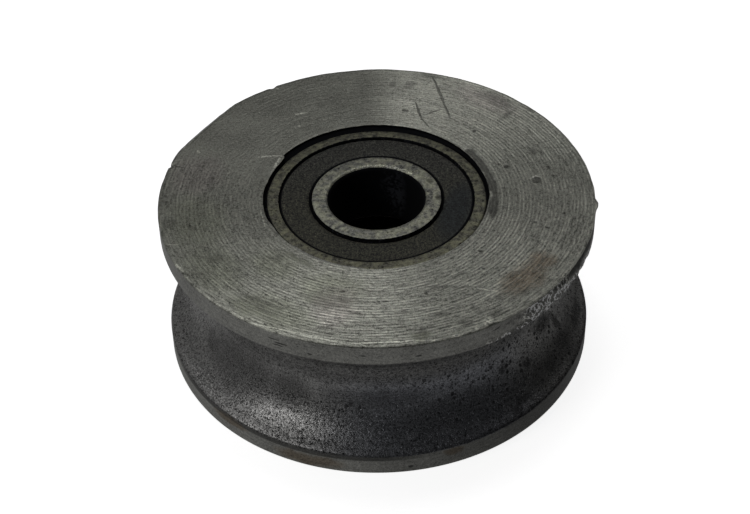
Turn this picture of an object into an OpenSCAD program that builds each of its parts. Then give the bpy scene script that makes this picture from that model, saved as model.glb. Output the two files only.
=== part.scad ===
// Steel track wheel with a round groove, running on two sealed ball bearings.
// The axle line is Z and the origin is the middle of the wheel.
// "Upper" is the side that faces +Z. The wheel lies on its lower face.

/* [Wheel] */
// Outside diameter of the two flanges
wheel_d = 78; // [70:1:100]
// Width of the wheel from face to face
wheel_w = 30.5; // [28:0.5:40]
// Width of the round groove where it opens at the rims
groove_w = 22; // [14:0.5:25]
// Depth of the groove below the rims
groove_depth = 7.4; // [3:0.1:9]
// Bevel between the groove and each rim
groove_bevel = 0.6; // [0.2:0.1:1.2]
// Edge break on the outer corner of each flange
edge_break = 0.3; // [0.1:0.1:1]
// Lead-in bevel at the mouth of each bearing seat
seat_bevel = 0.4; // [0.1:0.1:1]
// Diameter of the hole through the shoulder between the bearings
shoulder_d = 34; // [30:0.5:36]

/* [Bearings] */
// Bore of the inner rings, where the axle goes
bearing_bore = 17; // [15:0.5:18]
// Outside diameter of the outer rings
bearing_od = 40; // [38:0.5:44]
// Width of each bearing
bearing_w = 12; // [11:0.5:13]
// Depth of each bearing below the face of the wheel
bearing_recess = 0.5; // [0:0.1:1]
// Bevel on the corners of the rings
ring_bevel = 0.6; // [0.2:0.1:0.8]
// Depth of the ball grooves in both rings
race_depth = 1.25; // [0.8:0.05:1.5]
// Step from the shoulder of the inner ring down to its seal land
land_step = 0.55; // [0.3:0.05:0.7]
// Step from the shoulder of the outer ring out to its seal seat
seat_step = 1.15; // [0.8:0.05:1.3]

/* [Balls and cages] */
// Diameter of the balls
ball_d = 6.75; // [6:0.05:7]
// Number of balls in each bearing
ball_count = 8; // [6:1:8]
// Gap between a ball and the bottom of a ball groove
ball_clearance = 0.04; // [0.02:0.01:0.06]
// Radius of the ball grooves over the radius of the ball
race_ratio = 1.05; // [1.03:0.01:1.08]
// Sheet thickness of the cages
cage_t = 0.5; // [0.3:0.05:0.6]
// Width of the cage ribbon, measured from the axle outwards
cage_band = 2.5; // [2:0.1:2.8]
// Gap between a ball and its cage pocket
pocket_clearance = 0.12; // [0.08:0.01:0.2]
// Diameter of the cage rivets
rivet_d = 0.9; // [0.6:0.1:1.1]
// Diameter of the rivet heads
rivet_head_d = 1.6; // [1.3:0.1:1.8]
// Height of the rivet heads
rivet_head_h = 0.3; // [0.2:0.05:0.4]

/* [Seals] */
// Thickness of the rubber seals
seal_t = 1.1; // [0.8:0.05:1.2]
// Depth of a seal below the faces of its rings
seal_recess = 0.35; // [0.2:0.05:0.5]
// Gap between a seal's lip and the inner ring
lip_clearance = 0.15; // [0.1:0.05:0.25]
// Height of the bead that snaps into the outer ring
bead_h = 0.3; // [0.1:0.05:0.4]
// Thickness of that bead
bead_t = 0.7; // [0.4:0.05:0.8]
// Bevel around the outer face of the seal's lip
lip_bevel = 0.45; // [0.2:0.05:0.6]

/* [Wear] */
// Direction of the worn flat on the upper rim, in degrees
rim_flat_at = 148; // [0:1:359]
// Width of that flat, measured on the face
rim_flat_w = 1.3; // [0.3:0.1:2]
// Slope of that flat below the face, in degrees
rim_flat_slope = 38; // [20:1:60]
// Direction of the first chip in the upper rim, in degrees
chips_from = 309; // [0:1:359]
// Direction of the last chip
chips_to = 331; // [0:1:359]
// Number of chips between the two
chip_count = 4; // [2:1:6]
// Radius of the chips
chip_r = 2.2; // [1:0.1:3]
// How far a chip reaches into the rim
chip_bite = 0.45; // [0.2:0.05:0.8]
// Directions of the chisel marks that stake the upper bearing
stake_at = [12, 30, 157, 346]; // [0:1:359]
// Radius of the chisel marks
stake_r = 5; // [3:0.5:7]
// How far a chisel mark spreads past the edge of the seat
stake_spread = 1.5; // [0.6:0.1:2.2]
// Depth of the chisel marks
stake_depth = 0.3; // [0.1:0.05:0.45]

/* [Hidden] */
$fn = 96;
cut = 0.5;                                       // how far a cutting shape passes a face

wheel_r = wheel_d / 2;
top_z = wheel_w / 2;
groove_half = groove_w / 2;
groove_r = (groove_half * groove_half + groove_depth * groove_depth) / (2 * groove_depth);
groove_centre = wheel_r - groove_depth + groove_r;

ring_r = bearing_od / 2;
bore_r = bearing_bore / 2;
half_w = bearing_w / 2;
seat_floor = top_z - bearing_recess - bearing_w;
bearing_z = seat_floor + half_w;

ball_r = ball_d / 2;
pitch_r = (ring_r + bore_r) / 2;
race_r = ball_r * race_ratio;
outer_race_centre = pitch_r + ball_r + ball_clearance - race_r;
inner_race_centre = pitch_r - ball_r - ball_clearance + race_r;
outer_shoulder = pitch_r + ball_r - race_depth;
inner_shoulder = pitch_r - ball_r + race_depth;
inner_land = inner_shoulder - land_step;
seal_seat = outer_shoulder + seat_step;
seal_top = half_w - seal_recess;
seal_bottom = seal_top - seal_t;
bead_z = (seal_top + seal_bottom - bead_t) / 2;
pocket_r = ball_r + pocket_clearance;
ball_step = 360 / ball_count;

// A ring turned around Z from the section that is its child, radius along X
module turned() {
    rotate_extrude() children();
}

// A rectangle of the section, from one corner to the other
module section(r0, z0, r1, z1) {
    translate([r0, z0]) square([r1 - r0, z1 - z0]);
}

// A 45 degree corner cut, with its corner at the point given
module corner_cut(r, z, size) {
    translate([r, z]) rotate(45) square(size * sqrt(2), center = true);
}

// Both ends of a section get the same cut
module both_ends() {
    children();
    mirror([0, 1]) children();
}

// What belongs to the lower side is the upper side's mirror image
module on_side(side) {
    mirror([0, 0, side == "lower" ? 1 : 0]) children();
}

// A bearing piece, drawn about the bearing's own middle
module in_bearing(side) {
    on_side(side) translate([0, 0, bearing_z]) children();
}

// ---- Wheel ----

module wheel_section() {
    difference() {
        section(shoulder_d / 2, -top_z, wheel_r, top_z);
        translate([groove_centre, 0]) circle(groove_r);
        both_ends() {
            section(0, seat_floor, ring_r, top_z + cut);
            corner_cut(ring_r, top_z, seat_bevel);
            corner_cut(wheel_r, top_z, edge_break);
            corner_cut(wheel_r, groove_half, groove_bevel);
        }
    }
}

// A slope filed across the upper rim
module rim_flat() {
    rotate(rim_flat_at)
        translate([wheel_r - rim_flat_w, -wheel_r / 2, top_z])
            rotate([0, rim_flat_slope, 0])
                translate([-wheel_r / 4, 0, 0]) cube([wheel_r, wheel_r, wheel_r / 4]);
}

// Shallow scallops knocked out of the edge of the upper rim
module rim_chips() {
    spacing = (chips_to - chips_from) / (chip_count - 1);
    for (i = [0:chip_count - 1])
        rotate(chips_from + i * spacing)
            translate([wheel_r + chip_r - chip_bite, 0, top_z])
                sphere(chip_r);
}

// Chisel marks around the mouth of the upper bearing seat
module stake_marks() {
    for (angle = stake_at)
        rotate(angle)
            translate([ring_r + stake_spread - stake_r, 0, top_z - stake_depth])
                cylinder(r = stake_r, h = stake_depth + cut);
}

module wheel_body() {
    color("#6b6c68") difference() {
        turned() wheel_section();
        rim_flat();
        rim_chips();
        stake_marks();
    }
}

// ---- Bearings ----

module outer_ring(side) {
    color("#7d7c74") in_bearing(side) turned() difference() {
        section(outer_shoulder, -half_w, ring_r, half_w);
        translate([outer_race_centre, 0]) circle(race_r);
        both_ends() {
            section(0, seal_bottom, seal_seat, half_w + cut);
            section(0, bead_z, seal_seat + bead_h, bead_z + bead_t);
            corner_cut(ring_r, half_w, ring_bevel);
        }
    }
}

module inner_ring(side) {
    color("#8a8983") in_bearing(side) turned() difference() {
        section(bore_r, -half_w, inner_shoulder, half_w);
        translate([inner_race_centre, 0]) circle(race_r);
        both_ends() {
            section(inner_land, seal_bottom, inner_shoulder + cut, half_w + cut);
            corner_cut(bore_r, half_w, ring_bevel);
        }
    }
}

// A rubber ring that snaps into the outer ring and runs close to the inner one
module seal(side, facing) {
    color("#1c1d1e") in_bearing(side) mirror([0, 0, facing == "inside" ? 1 : 0]) turned() difference() {
        union() {
            section(inner_land + lip_clearance, seal_bottom, seal_seat, seal_top);
            section(seal_seat - cut, bead_z, seal_seat + bead_h, bead_z + bead_t);
        }
        corner_cut(inner_land + lip_clearance, seal_top, lip_bevel);
    }
}

module each_ball_place(offset = 0) {
    for (i = [0:ball_count - 1])
        rotate((i + offset) * ball_step) translate([pitch_r, 0, 0]) children();
}

// A round bar through each ball place, lying along the spoke
module spoke_bars(r) {
    each_ball_place() rotate([0, 90, 0]) cylinder(r = r, h = 2 * cage_band, center = true);
}

// Half of a riveted sheet cage: a flat band that arches over each ball
module cage_half(side, facing) {
    arch_r = pocket_r + cage_t;
    color("#a8a69c") in_bearing(side) mirror([0, 0, facing == "inside" ? 1 : 0]) difference() {
        intersection() {
            union() {
                cylinder(r = ring_r, h = cage_t);
                spoke_bars(arch_r);
            }
            turned() section(pitch_r - cage_band / 2, 0, pitch_r + cage_band / 2, arch_r + cut);
        }
        spoke_bars(pocket_r);
        each_ball_place(0.5) cylinder(d = rivet_d, h = 2 * (cage_t + cut), center = true);
    }
}

module cage_rivets(side) {
    color("#c2c0b6") in_bearing(side) each_ball_place(0.5) {
        cylinder(d = rivet_d, h = 2 * cage_t, center = true);
        for (end = [0, 1])
            mirror([0, 0, end]) translate([0, 0, cage_t]) cylinder(d = rivet_head_d, h = rivet_head_h);
    }
}

module ball(side, i) {
    color("#cfd1d2") in_bearing(side) rotate((i - 1) * ball_step) translate([pitch_r, 0, 0]) sphere(ball_r);
}

// ---- Pieces by name ----

wheel_body();
for (side = ["upper", "lower"]) {
    outer_ring(side);
    inner_ring(side);
    seal(side, "outside");
    seal(side, "inside");
    cage_half(side, "outside");
    cage_half(side, "inside");
    cage_rivets(side);
    for (i = [1:ball_count])
        ball(side, i);
}
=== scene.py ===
# %% [markdown]
# # A steel track wheel on two ball bearings
#
# The wheel is a short, heavy roller: two flat faces, two narrow rims, and between them a
# round groove that runs along a bar or a wire. A ball bearing is pressed into each face.
# The CAD frame holds every exact size. This lesson dresses it. It turns the visible steel
# and rubber again with softened corners and damage, and gives each surface its finish.

# %% Load the frame
import bpy, math
import numpy as np
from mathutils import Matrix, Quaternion, Vector, noise


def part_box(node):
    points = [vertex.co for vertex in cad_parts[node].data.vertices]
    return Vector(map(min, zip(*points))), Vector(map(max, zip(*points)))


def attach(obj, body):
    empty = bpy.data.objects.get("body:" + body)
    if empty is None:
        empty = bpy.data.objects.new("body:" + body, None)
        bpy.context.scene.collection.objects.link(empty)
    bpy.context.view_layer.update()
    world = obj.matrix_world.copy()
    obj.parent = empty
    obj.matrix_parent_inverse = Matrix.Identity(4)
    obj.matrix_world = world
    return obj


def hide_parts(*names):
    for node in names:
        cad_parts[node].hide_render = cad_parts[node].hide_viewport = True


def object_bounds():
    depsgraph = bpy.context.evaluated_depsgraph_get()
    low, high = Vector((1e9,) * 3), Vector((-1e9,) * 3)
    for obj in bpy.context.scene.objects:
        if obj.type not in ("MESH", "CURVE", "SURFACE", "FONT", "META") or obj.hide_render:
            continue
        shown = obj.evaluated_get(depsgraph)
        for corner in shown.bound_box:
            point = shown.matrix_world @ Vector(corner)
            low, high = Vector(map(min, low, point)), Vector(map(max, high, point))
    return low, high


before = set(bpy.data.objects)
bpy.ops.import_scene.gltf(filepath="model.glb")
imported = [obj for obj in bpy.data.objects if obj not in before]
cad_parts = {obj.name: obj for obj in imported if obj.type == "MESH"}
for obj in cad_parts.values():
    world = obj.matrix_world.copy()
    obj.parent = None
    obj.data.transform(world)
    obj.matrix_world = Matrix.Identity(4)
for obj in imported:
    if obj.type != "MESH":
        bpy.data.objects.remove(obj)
cad_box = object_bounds()
MM = 0.001

# %% [markdown]
# Everything here is round about the axle line, Z, so the sizes that matter are distances
# from the axle and heights. They are measured on the CAD meshes. All sizes in this lesson
# are millimetres until a mesh is made, and directions are degrees round the axle: 0 is
# right, 90 is away from the camera, 180 is left and 270 is the front.

# %% Measure the frame
def corners(node):
    """Every corner of a CAD node as (distance from the axle, height)."""
    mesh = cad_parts[node].data
    flat = np.empty(len(mesh.vertices) * 3)
    mesh.vertices.foreach_get("co", flat)
    x, y, z = flat.reshape(-1, 3).T / MM
    return np.hypot(x, y), z


body_r, body_z = corners("wheel_body")
ring_r, ring_z = corners("upper_outer_ring")
wheel_r, top_z, hole_r = body_r.max(), body_z.max(), body_r.min()
seat_r, seat_floor, ring_top = ring_r.max(), ring_z.min(), ring_z.max()
root_r = body_r[(body_r > seat_r + 1) & (abs(body_z) < 1)].min()
print("wheel radius %.2f, half width %.2f, groove root %.2f, bearing seat %.2f"
      % (wheel_r, top_z, root_r, seat_r))

# %% [markdown]
# ## Camera
#
# The wheel lies on its lower face and is seen from the front, 41 degrees above the table,
# through a long lens from 32 centimetres away. A long lens keeps the far side nearly as
# wide as the near one. The camera leans by a degree, as a camera in the hand does.

# %% Place the camera
eye = Vector((0, -241.25, 211.68)) * MM
aim = Vector((-0.49, 0.57, 0)) * MM
camera_lean = math.radians(-1.14)


def show(thing):
    """Puts an object into the scene."""
    bpy.context.scene.collection.objects.link(thing)
    return thing


def face_along(thing, direction, lean=0.0):
    thing.rotation_mode = "QUATERNION"
    thing.rotation_quaternion = (
        direction.to_track_quat("-Z", "Y") @ Quaternion((0, 0, 1), lean))


camera = show(bpy.data.objects.new("camera", bpy.data.cameras.new("camera")))
camera.data.lens, camera.data.sensor_width = 83.55, 36
camera.data.clip_start, camera.data.clip_end = 0.01, 20
camera.location = eye
face_along(camera, aim - eye, camera_lean)
bpy.context.scene.camera = camera
bpy.context.scene.view_settings.view_transform = "Standard"
print("camera %.0f mm from the wheel" % ((eye - aim).length / MM))

# %% [markdown]
# ## Light
#
# Steel shows what stands around it, so its look is made mostly by the light. A strong
# small panel high up, a little behind the wheel, draws the bright band that turned metal
# shows towards the viewer, and larger dim panels behind and on the left fill the rest.
# The right side is left darker. Each panel faces the wheel and isn't seen itself.

# %% Hang the panels
def panel(name, azimuth, elevation, size, glow, distance=700):
    """A round area light. Glow is the brightness of its face, where white paper is 1."""
    a, e = math.radians(azimuth), math.radians(elevation)
    out = Vector((math.cos(a) * math.cos(e), math.sin(a) * math.cos(e), math.sin(e)))
    light = show(bpy.data.objects.new(name, bpy.data.lights.new(name, "AREA")))
    light.data.shape, light.data.size = "DISK", size * MM
    light.data.energy = glow * math.pi * math.pi * (size * MM / 2) ** 2
    light.location = out * distance * MM
    face_along(light, -out)
    light.visible_camera = False
    return light


panels = [
    panel("panel_above", 97, 78, 165, 5.6),
    panel("panel_behind_left", 135, 60, 500, 0.80),
    panel("panel_left", 212, 36, 290, 2.3),
    panel("panel_behind_right", 60, 54, 450, 0.62),
    panel("panel_high_left", 195, 72, 280, 0.3),
]
print(len(panels), "panels, %.1f watts in all" % sum(p.data.energy for p in panels))

# %% [markdown]
# ## Floor and surroundings
#
# The floor is plain, pale and evenly bright, with a faint shadow where the wheel stands.
# It would fill the rims with white, which a table in a dim room doesn't do, so it is
# hidden from reflections, and the surroundings stand in for the table there. It lies a
# hair below the wheel, because two surfaces in one plane flicker.

# %% Lay the floor
floor_half, hair = 3.0, 0.1 * MM


def sheet_of(name, half, height):
    mesh = bpy.data.meshes.new(name)
    mesh.from_pydata([(x * half, y * half, height) for x, y in
                      ((-1, -1), (1, -1), (1, 1), (-1, 1))], [], [(0, 1, 2, 3)])
    return show(bpy.data.objects.new(name, mesh))


floor = sheet_of("floor", floor_half, cad_box[0].z - hair)
floor.visible_glossy = floor.visible_diffuse = False
print("floor %.0f metres across, a hair below the wheel" % (2 * floor_half))

# %% [markdown]
# ## Shader maths that reads like Python
#
# A procedural finish is a graph of small nodes. Wired by hand, it is hard to read, so a
# socket is wrapped in a class with the usual operators, and a sum of two wires adds a
# Math node. Every other node comes from one method: its type, its settings, its inputs.

# %% A wire
class Wire:
    """An output socket that can be used in sums."""

    def __init__(self, finish, socket):
        self.finish, self.socket = finish, socket

    def maths(self, operation, *values):
        return self.finish.node("Math", {"operation": operation}, dict(enumerate(values)))

    def dot(self, direction):
        return self.finish.node("VectorMath", {"operation": "DOT_PRODUCT"}, {
            0: self, 1: direction}, 1)

    def __add__(self, other):
        return self.maths("ADD", self, other)

    def __sub__(self, other):
        return self.maths("SUBTRACT", self, other)

    def __rsub__(self, other):
        return self.maths("SUBTRACT", other, self)

    def __mul__(self, other):
        return self.maths("MULTIPLY", self, other)

    def __truediv__(self, other):
        return self.maths("DIVIDE", self, other)

    def __or__(self, other):
        return self.maths("MAXIMUM", self, other)

    def __abs__(self):
        return self.maths("ABSOLUTE", self)

    __radd__, __rmul__ = __add__, __mul__


# %% A finish
class Finish:
    """A material with one Principled shader, built node by node."""

    def __init__(self, name, tree=None):
        if tree is None:
            self.material = bpy.data.materials.new(name)
            self.material.use_nodes = True
            tree = self.material.node_tree
        self.tree = tree
        tree.nodes.clear()

    def feed(self, socket, value):
        if isinstance(value, Wire):
            self.tree.links.new(value.socket, socket)
        elif isinstance(value, tuple) and len(socket.default_value) == 4:
            socket.default_value = (*value, 1)
        else:
            socket.default_value = value

    def node(self, kind, settings=None, inputs=None, output=0):
        made = self.tree.nodes.new("ShaderNode" + kind)
        for name, value in (settings or {}).items():
            setattr(made, name, value)
        for name, value in (inputs or {}).items():
            self.feed(made.inputs[name], value)
        return Wire(self, made.outputs[output]) if made.outputs else made

    def shader(self, **inputs):
        return self.node("BsdfPrincipled", {}, {
            name.replace("_", " "): value for name, value in inputs.items()})

    def over(self, factor, top, below):
        """One shader over another, where the factor is 1."""
        return self.node("MixShader", {}, {0: factor, 1: below, 2: top})

    def grease_and_shade(self, haze=None):
        """Black in a gap, partly grease and partly painted shade: it gives back almost no light.
        Haze is a film of dust.
        """
        tone = (0.009, 0.0095, 0.011)
        if haze:
            tone = self.node("VectorMath", {"operation": "SCALE"}, {0: tone, 3: 1 + haze})
        return self.shader(Base_Color=tone, Roughness=0.9, Specular_IOR_Level=0.05)

    def done(self, shader):
        self.node("OutputMaterial", {}, {0: shader})
        return self.material


# %% [markdown]
# A few words cover most of what the finishes say. `step` is a soft threshold and `band`
# is a soft window. `grain` is noise of a given fineness. `blots` are ellipses laid on the
# surface where a mark really is: each has its middle, its two half sizes and its turn.

# %% Words for finishes
def step(value, start, end):
    """0 at start, 1 at end, smooth between them. Start may be the larger number."""
    return value.finish.node("MapRange", {"interpolation_type": "SMOOTHSTEP"}, {
        "Value": value, "From Min": start, "From Max": end})


def band(value, start, end, soft):
    """1 between start and end, fading over soft on both sides of each."""
    return step(value, start - soft, start + soft) * step(value, end + soft, end - soft)


def mixed(factor, a, b):
    """Colour a where the factor is 0 and b where it is 1."""
    return factor.finish.node("Mix", {"data_type": "RGBA"}, {0: factor, 6: a, 7: b}, 2)


def grain(where, fineness, detail=2.0, rough=0.5):
    """Noise round 0.5. Fineness is patches for each millimetre."""
    return where.finish.node("TexNoise", {}, {
        "Vector": where, "Scale": fineness, "Detail": detail, "Roughness": rough})


def pits(where, size, share):
    """Round spots of about a size, on a share of the places where one could be."""
    cell = where.finish.node("TexVoronoi", {}, {"Vector": where, "Scale": 0.55 / size})
    pick = where.finish.node("TexVoronoi", {}, {"Vector": where, "Scale": 0.55 / size}, 1)
    lucky = where.finish.node("SeparateColor", {}, {0: pick})
    return step(cell, 0.34, 0.2) * step(lucky, share + 0.02, share - 0.02)


def shifted(where, amount, fineness):
    """The same place, pushed about by noise, so that an outline comes out ragged."""
    f = where.finish
    push = f.node("TexNoise", {}, {"Vector": where, "Scale": fineness, "Detail": 2.0}, 1)
    push = f.node("VectorMath", {"operation": "SUBTRACT"}, {0: push, 1: (0.5, 0.5, 0.5)})
    return f.node("VectorMath", {"operation": "MULTIPLY_ADD"}, {
        0: push, 1: (2 * amount, 2 * amount, 0), 2: where})


def blots(where, marks, soft=0.4):
    """Marks as (x, y, half length, half width, turn), where the place's third part is 1."""
    found = None
    for x, y, long, wide, turn in marks:
        c, s = math.cos(math.radians(turn)), math.sin(math.radians(turn))
        u = where.dot((c / long, s / long, -(x * c + y * s) / long))
        v = where.dot((-s / wide, c / wide, (x * s - y * c) / wide))
        spot = step(u * u + v * v, (1 + soft) ** 2, (1 - soft) ** 2)
        found = spot if found is None else found | spot
    return found


# %% [markdown]
# The marks on a face are easiest to give by direction and distance from the axle, and
# those on the rims and in the groove by direction and height. Two small functions turn
# them into the places that `blots` takes. The side of the wheel is unrolled for this, from
# its back left round to its back right.
#
# Inside a finish the direction is `at.angle`, in radians: 0 is right, about -1.6 is the
# front and 1.6 the back. It jumps from -3.1 to 3.1 on the left, so whatever depends on it
# has to fade out before it gets there.

# %% Where a point of the surface is
def on_face(marks):
    """(direction, reach, half size along the spoke, half size across it, lean)."""
    return [(reach * math.cos(math.radians(a)), reach * math.sin(math.radians(a)),
             along, across, a + lean) for a, reach, along, across, lean in marks]


def from_to(cuts):
    """(direction and reach of one end, the same of the other end, half width)."""
    made = []
    for a, reach, b, far, wide in cuts:
        x, y = reach * math.cos(math.radians(a)), reach * math.sin(math.radians(a))
        across, up = far * math.cos(math.radians(b)) - x, far * math.sin(math.radians(b)) - y
        made.append((x + across / 2, y + up / 2, math.hypot(across, up) / 2, wide,
                     math.degrees(math.atan2(up, across))))
    return made


def on_side(marks):
    """(direction, height, half size round the wheel, half height, lean)."""
    return [(math.radians(a - 360) * wheel_r, z, around, high, lean)
            for a, z, around, high, lean in marks]


class Place:
    """The point being shaded: as it is, round the axle, flattened and unrolled."""

    def __init__(self, finish):
        spot = finish.node("TexCoord", output=3)
        self.p = finish.node("VectorMath", {"operation": "SCALE"}, {0: spot, 3: 1 / MM})
        x, y, self.z = (finish.node("SeparateXYZ", {}, {0: self.p}, i) for i in range(3))
        level = finish.node("VectorMath", {"operation": "MULTIPLY"}, {0: self.p, 1: (1, 1, 0)})
        self.r = finish.node("VectorMath", {"operation": "LENGTH"}, {0: level}, 1)
        self.spoke = finish.node("VectorMath", {"operation": "NORMALIZE"}, {0: level})
        self.angle = x.maths("ARCTAN2", y, x)
        self.flat = finish.node("VectorMath", {"operation": "ADD"}, {0: level, 1: (0, 0, 1)})
        self.unrolled = finish.node("CombineXYZ", {}, {0: self.angle * wheel_r, 1: self.z, 2: 1})

    def streaks(self, long, thin, across, detail=2.0):
        """Noise drawn out round the axle: long patches round it, thin ones across."""
        f = self.p.finish
        lift = f.node("CombineXYZ", {}, {2: across / thin})
        place = f.node("VectorMath", {"operation": "MULTIPLY_ADD"}, {
            0: self.spoke, 1: (wheel_r / long,) * 3, 2: lift})
        return grain(place, 1.0, detail, 0.6)


# %% [markdown]
# ## Finish of the floor and the surroundings
#
# The surroundings are the first finish made with these words. Below the horizon is the
# table, brighter on the left and brightest at the back left. Above it is the room, dimmer,
# and darkest in front and on the far right. Only reflections see them: the camera looks
# past the floor at plain white.

# %% Finish the floor and the surroundings
f = Finish("floor")
floor.data.materials.append(f.done(f.shader(
    Base_Color=(0.8, 0.8, 0.8), Roughness=0.9,
    Emission_Color=(1, 1, 1), Emission_Strength=0.86)))

world = bpy.data.worlds.new("surroundings")
bpy.context.scene.world = world
world.use_nodes = True
w = Finish("surroundings", world.node_tree)
x, y, z = (w.node("SeparateXYZ", {}, {0: w.node("TexCoord")}, i) for i in range(3))
table_glow = 0.17 + 0.035 * step(x, 0.7, 0.0) + 0.04 * step(x, 0.0, -0.9)
table_glow = table_glow + 0.12 * step(y, 0.5, 0.75) * step(x, 0.2, -0.1)
room_glow = (0.026 + 0.03 * step(y, -0.5, 0.3)) * (0.35 + 0.65 * step(x, 0.95, 0.4))
room_glow = room_glow + 0.05 * step(x, -0.4, -0.85)
glow = w.node("Mix", {}, {0: step(z, 0.05, -0.1), 2: room_glow, 3: table_glow})
seen = w.node("LightPath")
backdrop = w.node("Background", {}, {"Color": (1, 1, 1)})
around = w.node("Background", {}, {"Color": (1, 1, 1), "Strength": glow})
w.node("OutputWorld", {}, {0: w.node("MixShader", {}, {0: seen, 1: around, 2: backdrop})})
print("surroundings:", len(world.node_tree.nodes), "nodes")

# %% [markdown]
# ## Worn steel
#
# The wheel was turned on a lathe from a steel bar and has been handled, stored and used.
# Its faces keep the spiral of the tool, 0.64 mm from line to line, except where the back
# left has been rubbed smooth. Over that lie fine grain, thumb-sized clouds, a few rust
# tints, pits and scratches. The rims are smooth, the groove is sandy and pitted.
#
# One finish covers it all, so that grain and dirt run on across the edges. It needs to know
# where it is: on the upper face, on the underside, on a rim or in the groove.

# %% Zones of the wheel
bevel, edge = 0.6, 0.3
rim_low = body_z[(body_r > wheel_r - 0.01) & (body_z > 0)].min()
groove_half = rim_low - bevel


def zones(at):
    """How much a point belongs to the upper face, the underside, a rim and the groove."""
    height = abs(at.z)
    outer = step(at.r, seat_r - 0.1, seat_r + 0.1)
    face = step(at.z, top_z - edge - 0.04, top_z - edge + 0.04) * outer
    under = step(at.z, edge + 0.04 - top_z, edge - 0.04 - top_z) * outer
    rim = step(height, groove_half + 0.1, groove_half + 0.35) * (1 - face - under)
    groove = step(height, groove_half + 0.35, groove_half + 0.1)
    return face, under, rim * outer, groove * step(at.r, root_r - 2, root_r - 1)


worn = Finish("worn_steel")
at = Place(worn)
face, under, rim, groove = zones(at)
flats = face | under
print("the groove opens %.1f mm above and below the middle" % groove_half)

# %% [markdown]
# ### Clean turned steel
#
# Three sizes of noise make the grain and the clouds. What the tool leaves is noise drawn
# out round the axle, as long streaks and short dashes, and a spiral: a sine of the
# distance from the axle that moves out by one line each time round. The spiral is strong
# on the right and in front, and gone where the face has been rubbed.

# %% Grain, streaks and the spiral
feed = 0.64
sand = grain(at.p, 4.6, 1.0, 0.6)
fine = grain(at.p, 1.9, 2.0, 0.6)
cloud = grain(at.p, 0.16, 2.0)
streak = at.streaks(7, 0.62, at.r)
dash = at.streaks(1.6, 0.34, at.r + at.z)
lines = at.streaks(14, 0.35, at.z)
rubbed = band(at.angle, math.radians(86), math.radians(162), 0.16) * face
turns = (at.r / feed + at.angle / math.tau + cloud * 0.5) * math.tau
keen = (1 - 0.9 * rubbed) * step(streak + cloud * 0.5, 0.42, 0.95) * flats
deep = step(at.flat.dot((1, -0.8, 0)), -24, 24)
spiral = at.r.maths("SINE", turns) * keen * (0.6 + 0.8 * deep)
print("%d turns of the spiral on a face" % ((wheel_r - seat_r) / feed))

# %% [markdown]
# ### Marks on the upper face
#
# Pits, cuts, scratches and stains are laid one by one where they are. A mark with a clean
# outline looks stuck on, so the place that it is laid on is pushed about by noise first:
# a little for scratches and pits, a lot for stains.

# %% Pits, cuts and scratches
ragged, loose = shifted(at.flat, 0.16, 1.2), shifted(at.flat, 1.6, 0.3)
face_pits = [
    (7, 29.1, 0.75, 0.85, 0), (17.8, 24.8, 0.4, 0.45, 0), (44.8, 26.1, 0.35, 0.3, 0),
    (77, 25.8, 0.35, 0.55, 0), (318.3, 23.8, 0.42, 0.3, 15), (343, 29.0, 0.3, 0.25, 0),
    (8, 32.3, 0.25, 0.22, 0), (341.5, 31.3, 0.5, 0.2, 0), (287, 27.6, 0.3, 0.3, 0),
    (311.5, 27.2, 0.25, 0.2, 0)]
soft_spots = [
    (78.5, 34.1, 1.1, 0.8, 0), (84, 33.8, 0.8, 0.55, 0), (110.8, 29.3, 0.8, 0.7, 0),
    (210.8, 32.8, 0.9, 0.9, 0), (224.5, 23.9, 1.2, 0.9, 0), (190.5, 37.5, 1.6, 0.9, 0),
    (73, 38.2, 0.8, 1.6, 0), (298, 34.5, 1.2, 0.5, 10), (281.5, 36.4, 1.2, 0.6, 0),
    (43, 34.0, 2.4, 0.5, 6), (21.8, 31.2, 0.6, 0.7, 0), (51, 36.0, 1.4, 3.4, 0),
    (41, 38.5, 0.6, 1.4, 0), (293, 36.6, 0.8, 0.9, 0), (288, 33.0, 0.5, 1.6, 0),
    (301, 37.0, 0.6, 1.4, 0), (312, 35.6, 0.5, 2.0, 0)]
cuts = [
    (58.5, 26.9, 64.5, 30.4, 0.17), (64, 30.2, 70, 35.1, 0.22), (69.5, 34.7, 72.5, 37.6, 0.16),
    (63.3, 22.2, 69, 24.2, 0.14), (69, 24.2, 74, 28.5, 0.17), (64, 28.1, 68, 25.5, 0.09),
    (165.4, 39.2, 165.8, 35.9, 0.11)]
faint_lines = [
    (287, 25.7, 303, 29.8, 0.28), (110.5, 30.6, 111.5, 32.4, 0.12),
    (100, 34.8, 101, 37.5, 0.2), (317, 31, 321, 37, 0.3)]
bright_lines = [
    (302.8, 30.0, 307, 32.6, 0.13), (297.2, 38.5, 299.4, 37.2, 0.6), (294, 38.6, 295, 38.4, 0.3),
    (288, 38.75, 291, 38.75, 0.16), (146.3, 21.6, 151.5, 24.4, 0.2), (147, 20.9, 158, 20.3, 0.2),
    (133.5, 38.75, 147, 37.95, 0.12), (147, 37.95, 159.5, 38.7, 0.14),
    (199, 38.4, 200.5, 36.4, 0.1), (120.6, 39.2, 119.4, 37.8, 0.22),
    (240, 38.5, 262, 38.45, 0.14), (262, 38.45, 283, 38.6, 0.12), (207, 38.9, 209, 38.6, 0.22),
    (212, 38.9, 213.4, 38.6, 0.2), (192, 20.9, 203, 21.3, 0.12), (117.5, 28.2, 122, 28.9, 0.2),
    (123.5, 25.2, 124.8, 25.4, 0.2), (157, 35.9, 158, 34.8, 0.16), (357.5, 20.6, 1.5, 20.4, 0.2)]
pitted = blots(ragged, on_face(face_pits)) * face
scored = blots(ragged, from_to(cuts), 0.5) * face
faint = blots(ragged, on_face(soft_spots) + from_to(faint_lines), 0.7) * face
bright = blots(ragged, from_to(bright_lines), 0.6) * face * step(fine, 0.36, 0.5)
print(len(face_pits), "pits,", len(cuts), "cuts and", len(bright_lines), "bright lines")

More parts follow.
